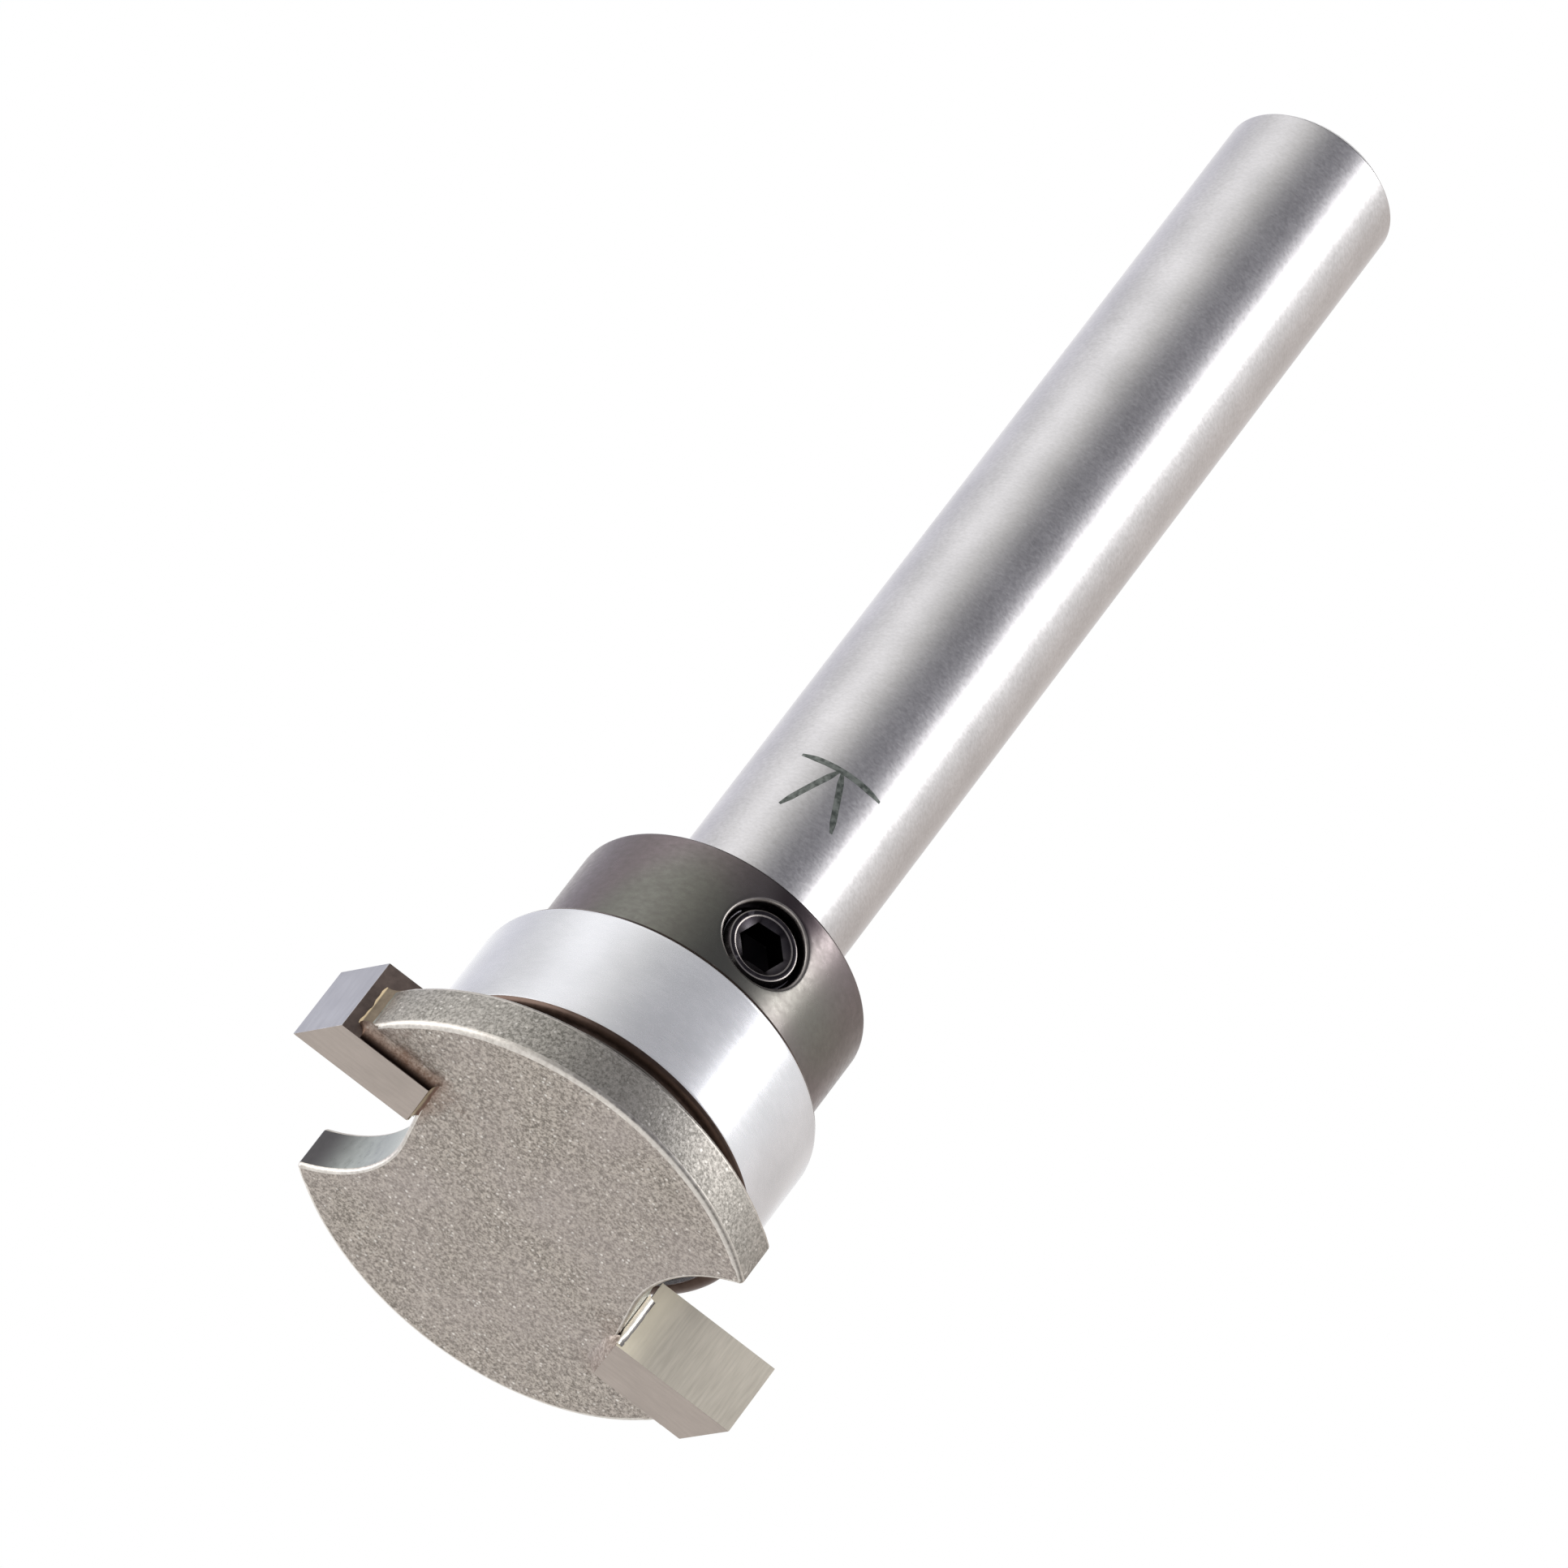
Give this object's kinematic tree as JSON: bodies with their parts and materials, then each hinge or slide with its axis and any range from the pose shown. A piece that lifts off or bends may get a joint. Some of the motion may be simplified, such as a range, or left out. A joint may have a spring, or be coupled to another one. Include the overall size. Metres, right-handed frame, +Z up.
{
  "type": "router bit",
  "caption": "Bearing-guided undercut router bit: a thin disc cutter with brazed carbide tips, a ball bearing and a stop collar on a straight round shank.",
  "frame": {"origin": "on the shank's axis, in the plane of the tips' undersides", "axes": "+Z runs up the shank from the cutter to the shank's end; +X points at the tip whose rake face looks towards -Y; seen from +Z the bit cuts turning clockwise"},
  "size_m": [0.0188, 0.0168, 0.0545],
  "materials": {
    "shank_steel": "ground",
    "carbide": "ground",
    "braze": "satin",
    "bearing_steel": "polished",
    "shield_steel": "pressed sheet",
    "ball_steel": "polished",
    "cage_steel": "pressed sheet",
    "black_oxide": "black oxide",
    "screw_black": "black oxide"
  },
  "bodies": {
    "cutter": {"cutter_body": "shank_steel", "carbide_tip_1": "carbide", "carbide_tip_2": "carbide", "braze_joint_1": "braze", "braze_joint_2": "braze", "bearing_inner_race": "bearing_steel", "spacer_washer": "shield_steel", "stop_collar": "black_oxide", "set_screw": "screw_black"},
    "bearing_ring": {"bearing_outer_race": "bearing_steel", "bearing_shield_lower": "shield_steel", "bearing_shield_upper": "shield_steel"},
    "ball_train": {"ball_1": "ball_steel", "ball_2": "ball_steel", "ball_3": "ball_steel", "ball_4": "ball_steel", "ball_5": "ball_steel", "ball_6": "ball_steel", "ball_7": "ball_steel", "ball_cage": "cage_steel"}
  },
  "joints": [
    {"name": "ring_spin", "type": "hinge", "parent": "cutter", "child": "bearing_ring", "pos_m": [0, 0, 0.00648], "axis": [0, 0, 1], "continuous": true},
    {"name": "ball_train_spin", "type": "hinge", "parent": "cutter", "child": "ball_train", "pos_m": [0, 0, 0.00648], "axis": [0, 0, 1], "continuous": true}
  ],
  "couplings": [
    {"joint": "ball_train_spin", "follows": "ring_spin", "ratio": 0.58333}
  ]
}
